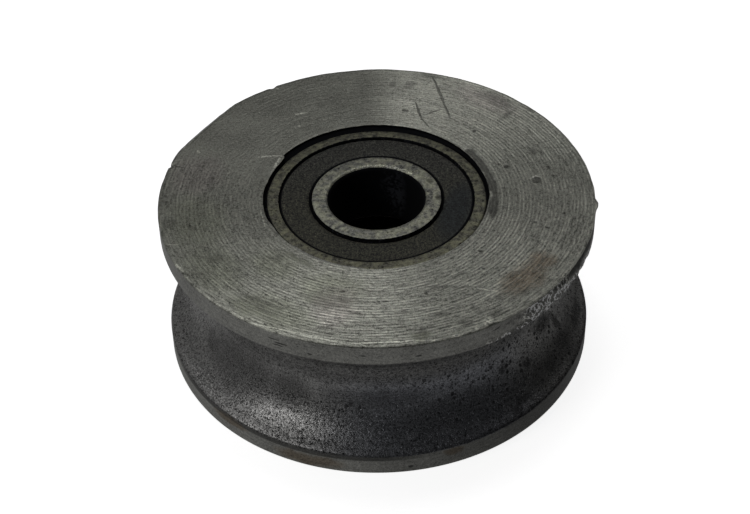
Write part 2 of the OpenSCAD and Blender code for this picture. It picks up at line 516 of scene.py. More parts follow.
# %% Stains and crusts
brown_marks = [(317, 33.7, 2.2, 4.0, 0), (326, 33.6, 1.6, 2.0, 0)]
olive_marks = [
    (240, 34.8, 2.6, 5.0, 0), (192, 32.5, 4.0, 5.5, 0), (226, 25.5, 2.5, 3.4, 0),
    (214, 34.0, 3.0, 5.0, 0), (252, 26.0, 3.0, 4.0, 0)]
pink_marks = [(256, 30.4, 3.4, 2.6, 0), (53, 35.0, 2.2, 4.6, 0), (168, 33, 3.5, 4.0, 0)]
crusts = [
    (236, 35.5, 2.0, 4.6, 0), (254, 28.6, 1.8, 3.2, 0), (281, 37.0, 0.8, 1.6, 0),
    (232, 21.8, 0.7, 3.0, 0), (211, 32.0, 0.8, 0.9, 0)]
mottle = step(fine + 0.5 * (streak - 0.5), 0.34, 0.6)
brown = blots(loose, on_face(brown_marks), 0.7) * face * (0.4 + 0.6 * mottle)
olive = blots(loose, on_face(olive_marks), 0.8) * face * (0.5 + 0.5 * mottle)
pink = blots(loose, on_face(pink_marks), 0.8) * face
crust = blots(loose, on_face(crusts), 0.6) * face * (0.35 + 0.8 * step(fine + dash, 0.85, 1.1))
print(len(brown_marks + olive_marks + pink_marks), "stains and", len(crusts), "crusts")

# %% Where a chisel has been, beside the bearing
ledge = [
    (350, 21.2, 1.1, 3.2, 0), (8, 20.9, 0.9, 3.6, 0), (24, 20.9, 0.8, 3.6, 0),
    (34, 21.0, 0.9, 1.4, 0)]
flap = [(157, 22.0, 1.7, 3.4, 0)]
ledge_reach = 2.2
shave = blots(ragged, on_face(ledge), 0.3) * (0.75 + 0.5 * (fine - 0.5)) * face
shave = shave * step(at.r, seat_r + ledge_reach, seat_r + ledge_reach - 0.6)
worn_flap = blots(ragged, on_face(flap), 0.3) * face
print("the ledge reaches %.1f mm out from the seat" % ledge_reach)

# %% [markdown]
# ### Specks and pits
#
# Small pits come in crowds, and nobody counts them. A cell noise gives round spots of one
# size, and a crowd is a soft area that lets them through: in front of the face, here and
# there elsewhere, and in the groove from the front round to the right.

# %% Specks of the faces and the groove
speck_area = step(cloud + 0.5 * grain(at.p, 0.05), 0.62, 0.9)
specks = pits(at.p, 0.36, 0.4) * (1 - rubbed)
front = step(at.angle, -2.2, -1.6) * step(at.angle, -0.2, -0.6)
face_specks = specks * (speck_area | front * step(at.r, 24, 29) * 0.8) * face

side_ragged, side_loose = shifted(at.unrolled, 0.12, 1.4), shifted(at.unrolled, 1.0, 0.4)
crowded_pits = [
    (312, -6, 5.5, 3.2, 0), (332, -5, 7.0, 2.6, -14), (336, -9.3, 6.0, 1.2, 6),
    (292, -5.5, 5.5, 1.6, 0), (262, -5.0, 2.4, 0.9, 0)]
pitted_area = step(at.angle + 1.2 * (cloud - 0.5), -2.1, -0.8) * step(at.angle, 2.9, 1.2)
pitted_area = pitted_area * groove
crowded = blots(side_loose, on_side(crowded_pits), 0.8) * groove
pocks = pits(at.p, 0.72, 0.85) | step(fine + 0.3 * (sand - 0.5), 0.6, 0.67)
big = pocks * (pitted_area * step(cloud, 0.46, 0.58) | crowded)
groove_specks = big | specks * (0.3 + 0.7 * pitted_area) * groove
print(len(crowded_pits), "crowds of pits in the groove")

# %% [markdown]
# ### Marks on the rims and in the groove
#
# The groove has dark patches, partly stains where oil has dried and partly a painted dark
# reflection in front, and rust along the lower rim. The right front of the upper rim has
# been hammered: its skin is broken into bright crumbs with dark dirt between them, and
# beside them is a flat, dark facet.

# %% Stains, painted dark reflections and blotches of the side
side_pits = [
    (243.5, 13.6, 1.0, 0.12, 0), (245.5, 13.0, 1.1, 0.16, 0), (244.6, 12.5, 0.9, 0.14, 0),
    (266, 13.2, 0.5, 0.14, 0), (253, 12.3, 0.4, 0.14, 0), (279.5, 12.6, 0.5, 0.2, 0),
    (277.5, -13.9, 0.4, 0.3, 0), (300, 13.9, 0.9, 0.12, 10), (261, -4.9, 0.5, 0.4, 0)]
# Partly stains, partly painted dark reflection: the long patches across the front of the groove
# stand for the dim room that it reflects.
side_stains_and_reflections = [
    (222, -5.3, 8.0, 3.2, 0), (241, -4.6, 3.6, 2.2, 0), (270, -3.8, 9.0, 1.3, 0),
    (290, -7.5, 9.0, 2.0, 0), (207, -6.0, 3.0, 1.0, 0), (332, -9.6, 9.0, 1.2, 0)]
side_blotches = [
    (335, -4.0, 3.4, 1.1, -12), (338.5, -9.2, 3.0, 0.8, 4), (327.5, -9.2, 1.8, 0.8, 0),
    (352, -9.8, 4.5, 0.4, 0), (312, -10, 2.5, 0.5, 6), (342, -6.6, 1.0, 1.4, 0),
    (312, -4.8, 1.0, 0.6, 0), (321, -6.6, 1.2, 0.5, 0)]
side_rust = [
    (227, -12.4, 3.4, 0.8, 0), (289, -12.0, 1.6, 0.9, 0), (251, -13.6, 5.0, 1.2, 0),
    (284, 9.6, 3.0, 0.3, 0)]
holes = blots(side_ragged, on_side(side_pits)) * (1 - face)
stain_and_reflection = blots(side_loose, on_side(side_stains_and_reflections), 0.8) * groove
stain_and_reflection = stain_and_reflection * step(fine + 0.5 * (cloud - 0.5), 0.3, 0.56)
blotch = blots(side_loose, on_side(side_blotches), 0.5) * step(fine, 0.34, 0.5) * groove
brown = brown | blots(side_loose, on_side(side_rust), 0.5) * (1 - face)
print(len(side_stains_and_reflections + side_blotches), "stains and", len(side_rust), "rust marks on the side")

# %% The hammered part of the rim
hammered = [(318, 13.3, 6.0, 2.0, 0), (324, 11.7, 17.0, 0.8, 1)]
facets = [(334, 14.1, 10.0, 1.1, 0)]
lip = step(at.r, wheel_r - 1.8, wheel_r - 1.2) * (1 - face)
chipped = blots(side_loose, on_side(hammered), 0.3)
chip = step(abs(grain(at.p, 0.8, 2.0, 0.6) - 0.5), 0.06, 0.035) * chipped * lip
facet = blots(side_loose, on_side(facets), 0.3) * lip
print(len(hammered), "hammered patches and", len(facets), "facet")

# %% [markdown]
# ### Dirt and painted shade in the corners
#
# Dirt collects along the lower edge of the groove. In front, dark lines run along the lower
# edge of the upper rim and across the top of the groove. The lower rim is darker, more so
# towards the right: painted shadow, the wheel's own shadow near the table. The walls of the
# bearing seat are black, partly grease and partly painted shade of the gap round the ring.

# %% Dirt lines, painted shadow on the lower rim and the seat's mouth
low_dirt = step(at.z + 0.5 * (fine - 0.5), -12.3, -11.9) * step(at.z, -10.9, -11.1)
low_dirt = low_dirt * band(at.angle, -2.8, -1.4, 0.2)
lip_line = band(at.z + 0.3 * (fine - 0.5), 10.3, 11.35, 0.12) | band(at.z, 3.9, 4.5, 0.3)
lip_line = lip_line * band(at.angle, -1.95, -1.2, 0.2)
# Painted shadow: the lower rim is made darker near the table, more so towards the right. A band
# round the middle of the groove is made darker as well.
right_side = 0.7 * step(at.angle, -2.0, -0.6) * step(at.angle, 2.6, 1.0)
darkening = step(at.z, -10.6, -11.2) * (0.02 + right_side)
darkening = darkening | 0.3 * band(at.z, -1.2, 1.4, 1.0) * groove
# Painted shade with grease: below the face, the walls of the seat go black.
mouth = step(at.z, top_z - 0.12, top_z - 0.17) * step(at.r, seat_r + 1.9, seat_r + 1.8)
mouth = mouth * step(at.z, -2, 0)
print("worn steel so far:", len(worn.tree.nodes), "nodes")

# %% [markdown]
# ### Mixing the worn steel
#
# All of it comes down to four things that vary over the surface. The shade is one number
# that makes the steel lighter or darker; some of it is painted light and shade, said where
# it is added. The dirt, with the painted dark reflections in the groove, takes the shade
# down and the metal away. The tone is the colour before shading. The relief is a bump, and
# the spiral is in it because slopes, not painted lines, draw the light into a band across
# the lines.

# %% Shade and dirt
shade = 1 + 1.5 * (sand - 0.5) + 1.1 * (fine - 0.5) + 0.6 * (cloud - 0.5)
lively = (1 + 0.6 * step(at.flat.dot((0.3, -1, 0)), 5, 26)) * (flats - 0.8 * rubbed)
shade = shade + (0.9 * (streak - 0.5) + 1.4 * (dash - 0.5)) * lively
shade = shade + 0.6 * (lines - 0.5) * (groove + rim)
sparkle = band(at.angle, -2.45, -1.75, 0.15) * step(at.z, -3.5, -6) * groove
shade = shade + (1.4 * (sand - 0.5) + 1.0 * (fine - 0.5)) * (groove + sparkle)
# Painted shade: the rubbed part of the face is made a fifth darker.
shade = shade * (1 + spiral * 0.14) * (1 - 0.2 * rubbed)

dashes = step(dash, 0.62, 0.72) * (step(cloud, 0.44, 0.56) | front * 0.9) * (1 - rubbed)
dirt_and_painted_dark = pitted * 0.62 | scored * 0.5 | face_specks * 0.5 | groove_specks * 0.85
dirt_and_painted_dark = dirt_and_painted_dark | holes * 0.7 | faint * 0.33 | dashes * 0.36 | brown * 0.32 | olive * 0.1
dirt_and_painted_dark = dirt_and_painted_dark | stain_and_reflection * 0.55 | blotch * 0.7 | facet * 0.66 | low_dirt * 0.65
dirt_and_painted_dark = dirt_and_painted_dark | (chipped * lip - chip) * 0.36
dirt_and_painted_dark = dirt_and_painted_dark | lip_line * 0.5 | shave * 0.84 | worn_flap * 0.12 | crust * 0.3
# Painted light: the right of the upper face is made lighter. The outer edge of the face in front
# is made darker as well.
painted_face_light = 0.09 * step(at.flat.dot((1, 0, 0)), 4, 24) - 0.14 * front * step(at.r, 33, 37.5)
shade = shade * (1 - dirt_and_painted_dark) * (1 - darkening) * (1 + painted_face_light * face)
shade = shade + bright * 0.9 + chip * (1.6 + 2.4 * fine)

# %% Tone
face_tone, rim_tone = (0.421, 0.424, 0.374), (0.376, 0.375, 0.350)
groove_tone, blue_reflection_tone = (0.355, 0.351, 0.343), (0.325, 0.334, 0.362)
brown_tone, olive_tone, pink_tone = (0.40, 0.33, 0.245), (0.395, 0.41, 0.325), (0.45, 0.42, 0.39)
# Painted reflection: the lower front right of the groove takes a bluish tone, the dim room that it
# reflects.
blue_reflection = band(at.angle, -1.75, -0.8, 0.25) * step(at.z, 2, -3)
tone = mixed(flats, rim_tone, face_tone)
tone = mixed(groove, tone, mixed(blue_reflection, groove_tone, blue_reflection_tone))
tone = mixed(brown * 0.8, tone, brown_tone)
tone = mixed((olive | crust) * 0.7, tone, olive_tone)
tone = mixed(pink * 0.6, tone, pink_tone)
colour = worn.node("VectorMath", {"operation": "SCALE"}, {0: tone, 3: shade})
print("worn steel with its tone:", len(worn.tree.nodes), "nodes")

# %% Relief
height = spiral * 0.018 + 0.030 * (sand - 0.5) + 0.05 * (fine - 0.5)
height = height + 0.06 * (streak - 0.5) * flats - 0.12 * (pitted | scored * 0.8)
height = height - 0.1 * groove_specks + 0.03 * fine * groove
height = height + 0.16 * chip
bump = worn.node("Bump", {}, {"Height": height, "Distance": MM})
print("worn steel with its relief:", len(worn.tree.nodes), "nodes")

# %% [markdown]
# Turned steel has a bright bow across its lines, because every groove of the tool throws
# light sideways. Anisotropic gloss does this. The rims, the groove and the rubbed part
# have no such lines and get the plain shader.

# %% Shaders of the worn steel
look = {"Base_Color": colour, "Metallic": 1 - 0.75 * dirt_and_painted_dark, "Normal": bump}
plain = worn.shader(Roughness=0.40 + 0.1 * (fine - 0.5) + 0.25 * dirt_and_painted_dark, **look)
turned = worn.shader(Roughness=0.43 + 0.1 * (fine - 0.5) + 0.25 * dirt_and_painted_dark, Anisotropic=0.82,
                     Anisotropic_Rotation=0.25, **look)
lined = flats * (1 - 0.9 * rubbed)
wheel_steel = worn.done(worn.over(mouth, worn.grease_and_shade(), worn.over(lined, turned, plain)))
print("worn steel:", len(wheel_steel.node_tree.nodes), "nodes")

# %% [markdown]
# ## Bearing finishes
#
# The bearing rings are ground steel under dried grease and dust: sandy beige, dull, with
# dark specks. Every wall that faces a gap is black, partly grease and partly painted shade
# of the gap, which is what draws the black lines round the seal. The bore is black all the
# way down, painted shade of the deep hole, with a film of dust on its far wall. All of it
# is one finish with two tones, one for each ring.

# %% Measure the bearing
inner_r, inner_z = corners("upper_inner_ring")
seal_corner_r, seal_corner_z = corners("upper_outside_seal")
bore_r, land_r = inner_r.min(), inner_r[inner_z > ring_top - 0.01].max()
seal_in, snap_in = seal_corner_r.min(), ring_r[ring_z > ring_top - 0.01].min()
ring_bevel = 0.6
print("bore %.2f, inner land %.2f, seal from %.2f to %.2f" % (bore_r, land_r, seal_in, snap_in))


# %% Black walls: grease and painted shade
def blackened(at, fine, far, walls, dirt_and_shadow_edge):
    """Walls are (from radius, to radius), black below the ring's face: partly grease, partly
    painted shade of the gaps. The last argument is the radius from which the outer edge of the
    face turns black too, at the back and on the left: dirt and the painted shadow of the gap."""
    below = step(abs(at.z) + 0.10 * (fine - 0.5), ring_top - 0.04, ring_top - 0.14)
    black = None
    for start, end in walls:
        wall = below * step(at.r, start - 0.06, start) * step(at.r, end + 0.06, end)
        black = wall if black is None else black | wall
    if dirt_and_shadow_edge:
        # Painted shadow over dirt: from this radius out, the ring's face goes black at the back
        # and on the left, where the gap beside it lies.
        rim = step(at.r + 0.3 * (fine - 0.5), dirt_and_shadow_edge, dirt_and_shadow_edge + 0.12)
        back = step(at.angle, -0.5, 0.0) | step(at.angle, -2.2, -2.7)
        seam = step(at.r - 0.008 * far + 0.3 * (fine - 0.5), snap_in + 0.1, snap_in)
        black = black | rim * back | seam
    return black


# %% Ring steel
ring_blotches = [(358, 11.1, 0.6, 0.7, 0), (24, 10.6, 0.5, 0.6, 0)]
bore_dust = [(360 + 68, ring_top - 5.4, 8.0, 4.5, 0)]


def ring_steel(name, tone, walls, dirt_and_shadow_edge=None):
    f = Finish(name)
    at = Place(f)
    sand, fine = grain(at.p, 5.0, 1.0, 0.6), grain(at.p, 1.7, 2.0, 0.6)
    cloud, patch = grain(at.p, 0.35, 3.0), grain(at.p, 0.8, 2.0, 0.6)
    far = at.flat.dot((0, 1, 0))
    spots = pits(at.p, 0.45, 0.35) * step(cloud, 0.42, 0.52)
    blotches = blots(shifted(at.flat, 0.3, 1.0), on_face(ring_blotches))
    glints = step(at.r, bore_r + 1.1, bore_r + 0.7) * band(at.angle, 0.7, 2.2, 0.2)
    glints = glints * step(sand, 0.5, 0.62)
    shade = 1 + 1.4 * (sand - 0.5) + 2.0 * (fine - 0.5) + 2.6 * (patch - 0.5)
    shade = shade * (1 - 0.2 * step(far, 2, 9))
    shade = shade * (1 - 0.6 * spots) * (1 - 0.6 * blotches) + 1.2 * glints
    warmer = tuple(v * w for v, w in zip(tone, (1.06, 1.06, 0.92)))
    tone = mixed(step(patch, 0.38, 0.6), tone, warmer)
    colour = f.node("VectorMath", {"operation": "SCALE"}, {0: tone, 3: shade})
    rise = 0.03 * (sand - 0.5) + 0.08 * (fine - 0.5) - 0.06 * spots
    bump = f.node("Bump", {}, {"Height": rise, "Distance": MM})
    steel = f.shader(Base_Color=colour, Metallic=0.75, Normal=bump,
                     Roughness=0.5 + 0.15 * (cloud - 0.5))
    haze = 4 * blots(at.unrolled, on_side(bore_dust), 0.8) * step(cloud + fine, 0.9, 1.2)
    haze = haze + 3 * step(fine, 0.55, 0.68) * step(at.r, 9, 9.2)
    black = blackened(at, fine, far, walls, dirt_and_shadow_edge)
    return f.done(f.over(black, f.grease_and_shade(haze), steel))


# Black walls are grease and painted shade of the gaps; the inner ring's bore is painted shade of
# the deep hole.
outer_ring_steel = ring_steel("outer_ring_steel", (0.160, 0.158, 0.128), [(0, snap_in + 0.05)],
                              dirt_and_shadow_edge=seat_r - 0.5)
inner_ring_steel = ring_steel("inner_ring_steel", (0.296, 0.298, 0.270),
                              [(land_r - 0.1, land_r + 1), (0, bore_r + 0.3)])
print("ring steel:", len(outer_ring_steel.node_tree.nodes), "nodes")

# %% [markdown]
# The seals are black rubber with a dull, dusty skin: paler than clean rubber, with fine
# light specks, bluish where it has been wiped on the right. Its two edges are black like the
# walls beside them, partly grease and partly painted shade of the gaps.

# %% Seal rubber
wiped_patch = [(345, 14.6, 2.4, 6.5, 0)]


def dusty_rubber(name):
    f = Finish(name)
    at = Place(f)
    sand, fine = grain(at.p, 4.2, 1.0, 0.7), grain(at.p, 1.8, 2.0, 0.6)
    cloud = grain(at.p, 0.25, 3.0)
    dust = pits(at.p, 0.24, 0.4)
    wiped = blots(shifted(at.flat, 1.0, 0.5), on_face(wiped_patch), 0.6)
    far, ragged = at.flat.dot((0, 1, 0)), at.r + 0.2 * (fine - 0.5)
    # Black edges, partly grease and partly painted shade of the gaps, wider towards the back.
    edges = step(ragged - 0.009 * far, snap_in - 0.52, snap_in - 0.42)
    edges = edges | step(ragged - 0.025 * far, seal_in + 0.5, seal_in + 0.38)
    shade = 1 + 6.0 * (sand - 0.5) + 3.6 * (fine - 0.5) + 0.6 * (cloud - 0.5)
    shade = shade * (1 - 0.25 * wiped) + 1.8 * dust * (1 - 0.7 * wiped)
    tone = mixed(step(far, -4, 12), (0.039, 0.0385, 0.0265), (0.036, 0.036, 0.0295))
    tone = mixed(wiped * 0.8, tone, (0.014, 0.020, 0.024))
    colour = f.node("VectorMath", {"operation": "SCALE"}, {0: tone, 3: shade})
    rise = 0.05 * (sand - 0.5) + 0.05 * (fine - 0.5) + 0.03 * dust
    bump = f.node("Bump", {}, {"Height": rise, "Distance": MM})
    rubber = f.shader(Base_Color=colour, Roughness=0.62 + 0.1 * (cloud - 0.5), Normal=bump,
                      Specular_IOR_Level=0.4)
    return f.done(f.over(edges, f.grease_and_shade(), rubber))


seal_rubber = dusty_rubber("seal_rubber")
print("seal rubber:", len(seal_rubber.node_tree.nodes), "nodes")

# %% [markdown]
# Inside the bearing are bright polished balls in a pressed sheet cage. Nobody sees them
# through the seals, but they are there when the bearing is taken apart.

# %% Cage sheet and ball steel
def bright_steel(name, tone, roughness, fineness, depth):
    f = Finish(name)
    at = Place(f)
    fine = grain(at.p, fineness, 3.0, 0.6)
    # Oily patches darken the tone here.
    darkening = grain(at.p, 0.5, 2.0)
    colour = mixed(step(darkening, 0.35, 0.75), tone, tuple(0.8 * v for v in tone))
    bump = f.node("Bump", {}, {"Height": depth * (fine - 0.5), "Distance": MM})
    return f.done(f.shader(Base_Color=colour, Metallic=1.0, Normal=bump,
                           Roughness=roughness + 0.1 * (darkening - 0.5)))


cage_steel = bright_steel("cage_steel", (0.56, 0.55, 0.51), 0.36, 3.0, 0.02)
ball_steel = bright_steel("ball_steel", (0.70, 0.70, 0.70), 0.10, 1.5, 0.001)
print("cage and ball steel:", len(ball_steel.node_tree.nodes), "nodes each")

# %% Give the CAD pieces their finishes
finish_of = {"outer_ring": outer_ring_steel, "inner_ring": inner_ring_steel,
             "seal": seal_rubber, "cage": cage_steel, "ball": ball_steel}
for node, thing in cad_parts.items():
    for word, finish in finish_of.items():
        if word in node:
            for slot in thing.material_slots:
                slot.material = finish
print("finishes on", len(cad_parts), "CAD nodes")

# %% [markdown]
# ## Turning a piece
#
# A lathe makes a shape by one rule: a section is carried round the axle. Geometry Nodes
# can do the same. The section is a closed loop of points, with X as the radius. A grid
# gets one row for each point of the section and one column for each step round the axle,
# and each grid point looks up its place in the section by its row. The sizes are named
# inputs, so one tree turns the wheel, the rings and the seals. A little unevenness along
# the normals keeps the shape from being mathematically perfect.

# %% A geometry tree built node by node
class GeometryTree:
    """A Geometry Nodes tree with named inputs and one piece as its output."""

    def __init__(self, name, sizes):
        self.tree = bpy.data.node_groups.new(name, "GeometryNodeTree")
        sockets = self.tree.interface
        for size, kind in sizes:
            sockets.new_socket(size, in_out="INPUT", socket_type="NodeSocket" + kind)
        sockets.new_socket("Piece", in_out="OUTPUT", socket_type="NodeSocketGeometry")
        self.given = self.tree.nodes.new("NodeGroupInput").outputs

    def add(self, kind, settings=None, inputs=None, output=0):
        made = self.tree.nodes.new(kind)
        for name, value in (settings or {}).items():
            setattr(made, name, value)
        for name, value in (inputs or {}).items():
            if isinstance(value, bpy.types.NodeSocket):
                self.tree.links.new(value, made.inputs[name])
            else:
                made.inputs[name].default_value = value
        return made.outputs[output]

    def maths(self, operation, a, b=0.0):
        return self.add("ShaderNodeMath", {"operation": operation}, {0: a, 1: b})

    def give(self, piece):
        """Ends the tree: what comes out of it is this piece."""
        self.tree.links.new(piece, self.tree.nodes.new("NodeGroupOutput").inputs["Piece"])
        return self.tree


lathe = GeometryTree("turned_piece", (
    ("Section", "Geometry"), ("Columns", "Int"), ("Unevenness", "Float"),
    ("Patch size", "Float"), ("Seed", "Float"), ("Finish", "Material")))
given = lathe.given
print("inputs:", ", ".join(socket.name for socket in given if socket.name))

# %% Lay a grid with a row for each point of the section
columns, where = given["Columns"], lathe.add("GeometryNodeInputPosition")
rows = lathe.add("GeometryNodeAttributeDomainSize", {}, {0: given["Section"]})
wide = lathe.maths("ADD", columns, 1)
grid = lathe.add("GeometryNodeMeshGrid", {}, {
    "Vertices X": lathe.maths("ADD", rows, 1), "Vertices Y": wide})
index = lathe.add("GeometryNodeInputIndex")
row = lathe.maths("FLOOR", lathe.maths("DIVIDE", lathe.maths("ADD", index, 0.5), wide))
row = lathe.maths("FLOORED_MODULO", row, rows)
column = lathe.maths("FLOORED_MODULO", lathe.maths("FLOORED_MODULO", index, wide), columns)
angle = lathe.maths("MULTIPLY", lathe.maths("DIVIDE", column, columns), math.tau)
print("grid and directions:", len(lathe.tree.nodes), "nodes")

# %% Bend the grid round the axle and close its seams
point = lathe.add("GeometryNodeSampleIndex", {"data_type": "FLOAT_VECTOR"}, {
    "Geometry": given["Section"], "Value": where, "Index": row})
reach, rise = (lathe.add("ShaderNodeSeparateXYZ", {}, {0: point}, i) for i in (0, 2))
place = lathe.add("ShaderNodeCombineXYZ", {}, {
    0: lathe.maths("MULTIPLY", reach, lathe.maths("COSINE", angle)),
    1: lathe.maths("MULTIPLY", reach, lathe.maths("SINE", angle)), 2: rise})
shaped = lathe.add("GeometryNodeSetPosition", {}, {"Geometry": grid, "Position": place})
closed = lathe.add("GeometryNodeMergeByDistance", {}, {"Geometry": shaped, "Distance": 1e-7})
print("shaped and closed:", len(lathe.tree.nodes), "nodes")

# %% Make it a little uneven and give it its finish
patches = lathe.add("ShaderNodeTexNoise", {"noise_dimensions": "4D"}, {
    "Vector": where, "W": given["Seed"], "Detail": 2.0,
    "Scale": lathe.maths("DIVIDE", 1.0, given["Patch size"])})
lift = lathe.maths("MULTIPLY", lathe.maths("SUBTRACT", patches, 0.5), given["Unevenness"])
offset = lathe.add("ShaderNodeVectorMath", {"operation": "SCALE"}, {
    0: lathe.add("GeometryNodeInputNormal"), 3: lift})
uneven = lathe.add("GeometryNodeSetPosition", {}, {"Geometry": closed, "Offset": offset})
real = lathe.add("GeometryNodeRealizeInstances", {}, {0: uneven})
turned_piece = lathe.give(lathe.add("GeometryNodeSetMaterial", {}, {
    "Geometry": real, "Material": given["Finish"]}))
print("turning tree:", len(turned_piece.nodes), "nodes")


# %% Turn a section
def turn(name, section, finish, columns, unevenness=0.0, patch=5.0, seed=1.0):
    """Carries a loop of (radius, height) round the axle and leaves a plain mesh."""
    wire = bpy.data.meshes.new(name)
    loop = [(i, (i + 1) % len(section)) for i in range(len(section))]
    wire.from_pydata([(r * MM, 0, z * MM) for r, z in section], loop, [])
    piece = show(bpy.data.objects.new(name, wire))
    nodes = piece.modifiers.new("turned", "NODES")
    nodes.node_group = turned_piece
    sockets = {s.name: s.identifier for s in turned_piece.interface.items_tree}
    for key, value in (("Columns", columns), ("Unevenness", unevenness * MM),
                       ("Patch size", patch * MM), ("Seed", seed), ("Finish", finish)):
        nodes[sockets[key]] = value
    plain = bpy.data.meshes.new_from_object(
        piece.evaluated_get(bpy.context.evaluated_depsgraph_get()))
    piece.modifiers.remove(nodes)
    piece.data = plain
    print("%s: %d points in the section, %d faces" % (name, len(section), len(plain.polygons)))
    return piece


def finish_piece(piece, node, body, sharp=38):
    """Smooth faces with crisp corners, in place of a CAD node, on a body."""
    piece.data.polygons.foreach_set("use_smooth", [True] * len(piece.data.polygons))
    piece.data.set_sharp_from_angle(angle=math.radians(sharp))
    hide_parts(node)
    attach(piece, body)


# %% [markdown]
# ## The wheel body
#
# The section starts in the groove, goes out over the upper rim and in across the upper
# face, down through the bearing seats and the hole between them, and back along the lower
# side. Where something is worn, the steps are short: the faces get a point each 0.4 mm, so
# that dents can be pressed into them later. Each corner is a short curve, not a sharp
# edge, as no corner of a handled steel part is sharp. The number of columns keeps the
# wheel just under 200,000 triangles, and it divides by four, so that the wheel is as wide
# as it should be along both axes.

# %% The wheel's section
groove_depth = wheel_r - root_r
groove_r = (groove_half ** 2 + groove_depth ** 2) / (2 * groove_depth)
groove_centre = root_r + groove_r


def spaced(a, b, size):
    """Even steps from one point to another, the first point included, the last not."""
    n = max(1, round(math.dist(a, b) / size))
    return [(a[0] + (b[0] - a[0]) * i / n, a[1] + (b[1] - a[1]) * i / n) for i in range(n)]


def flange(face_step):
    """One side of the wheel, from the groove's edge to the middle of the hole."""
    corner = [(wheel_r - 0.14, groove_half + 0.02), (wheel_r - 0.04, groove_half + 0.14),
              (wheel_r, groove_half + 0.32)]
    rim = spaced((wheel_r, groove_half + 0.6), (wheel_r, top_z - edge), 0.3)
    crest = [(wheel_r, top_z - edge), (wheel_r - 0.09, top_z - 0.09), (wheel_r - edge, top_z)]
    face = spaced((wheel_r - edge - 0.35, top_z), (seat_r + 0.4, top_z), face_step)
    seat = [(seat_r + 0.4, top_z), (seat_r + 0.23, top_z - 0.02), (seat_r + 0.2, top_z - 0.08),
            (seat_r + 0.2, top_z - 0.5), (seat_r, top_z - 1.1), (seat_r, top_z - 2.5),
            (seat_r, top_z / 2), (seat_r, seat_floor + 0.2),
            (seat_r - 0.2, seat_floor), (hole_r + 0.2, seat_floor), (hole_r, seat_floor - 0.2)]
    return corner + rim + crest + face + seat


def wheel_section():
    reach = math.degrees(math.asin((groove_half - 0.14) / groove_r))
    groove = [(groove_centre - groove_r * math.cos(a), groove_r * math.sin(a))
              for a in np.radians(np.linspace(-reach, reach, 51))]
    lower = [(r, -z) for r, z in flange(0.8)]
    return groove + flange(0.4) + lower[::-1]


wheel_columns = 572
wheel = turn("wheel", wheel_section(), wheel_steel, wheel_columns, unevenness=0.06, patch=7)
print("groove radius %.2f" % groove_r)

# %% [markdown]
# ## Wear in the shape
#
# Most marks are too fine for the mesh and live in the finish. Those that change the
# outline or catch the light as a shape are pressed into the points: a slope filed across
# the upper rim at the back left, the hammered right front of the upper rim, the mouth of
# the bearing seat, which is gaping at the back and dragged over the ring at the front
# left, and small dents. Each tool takes all the points at once and moves them.

# %% Tools for wear
class Points:
    """The points of a mesh round the axle, in millimetres."""

    def __init__(self, piece):
        self.mesh = piece.data
        flat = np.empty(len(self.mesh.vertices) * 3)
        self.mesh.vertices.foreach_get("co", flat)
        self.x, self.y, self.z = flat.reshape(-1, 3).T / MM
        self.measure()

    def measure(self):
        self.r = np.hypot(self.x, self.y)
        self.angle = np.degrees(np.arctan2(self.y, self.x)) % 360

    def set(self, r, z):
        a = np.radians(self.angle)
        self.x, self.y, self.z, self.r = r * np.cos(a), r * np.sin(a), z, r

    def near(self, middle, half):
        """A smooth hill round a direction: 1 there, 0 at half degrees from it."""
        away = abs((self.angle - middle + 180) % 360 - 180) / half
        return np.where(away < 1, (1 - np.minimum(away, 1) ** 2) ** 2, 0)

    def between(self, start, end, soft):
        """1 from one direction to another, fading over soft degrees outside them."""
        away = (self.angle - start) % 360
        width = (end - start) % 360
        over = np.where(away <= width, 0, np.minimum(away - width, 360 - away))
        t = np.clip(1 - over / soft, 0, 1)
        return t * t * (3 - 2 * t)

    def rough(self, size, seed):
        """Noise from -1 to 1 with bumps of a size, at each point."""
        return np.array([noise.noise(Vector((x, y, z)) / size + Vector((seed, 0, 0)))
                         for x, y, z in zip(self.x, self.y, self.z)])

    def write(self):
        flat = np.stack([self.x, self.y, self.z], 1) * MM
        self.mesh.vertices.foreach_set("co", flat.ravel())
        self.mesh.update()


# %% File the slope and hammer the rim
points = Points(wheel)
flat_at, flat_width, flat_slope = 146.5, 1.15, math.radians(38)


def file_slope(p):
    out = p.x * math.cos(math.radians(flat_at)) + p.y * math.sin(math.radians(flat_at))
    over = (out - wheel_r + flat_width) * math.sin(flat_slope)
    over = np.maximum(over + (p.z - top_z) * math.cos(flat_slope), 0)
    p.x -= over * math.sin(flat_slope) * math.cos(math.radians(flat_at))
    p.y -= over * math.sin(flat_slope) * math.sin(math.radians(flat_at))
    p.z -= over * math.cos(flat_slope)
    p.measure()


def hammer_rim(p):
    """Hollows and lumps below the face's edge, which itself keeps its place."""
    where = p.between(306, 336, 8) * (p.z > groove_half - 0.4) * (p.r > wheel_r - 1.4)
    below = np.clip((top_z - p.z) / 0.7, 0.15, 1)
    hollow = np.exp(-((p.z - 14.2) / 0.75) ** 2)
    lumps, crumbs = p.rough(1.3, 3.0), p.rough(0.6, 8.0)
    bite = where * below * (0.36 * hollow + 0.16 + 0.30 * lumps + 0.16 * crumbs)
    p.set(p.r - np.maximum(bite, -0.08), p.z)


file_slope(points)
hammer_rim(points)
print(len(points.x), "points, slope filed at", flat_at, "degrees")

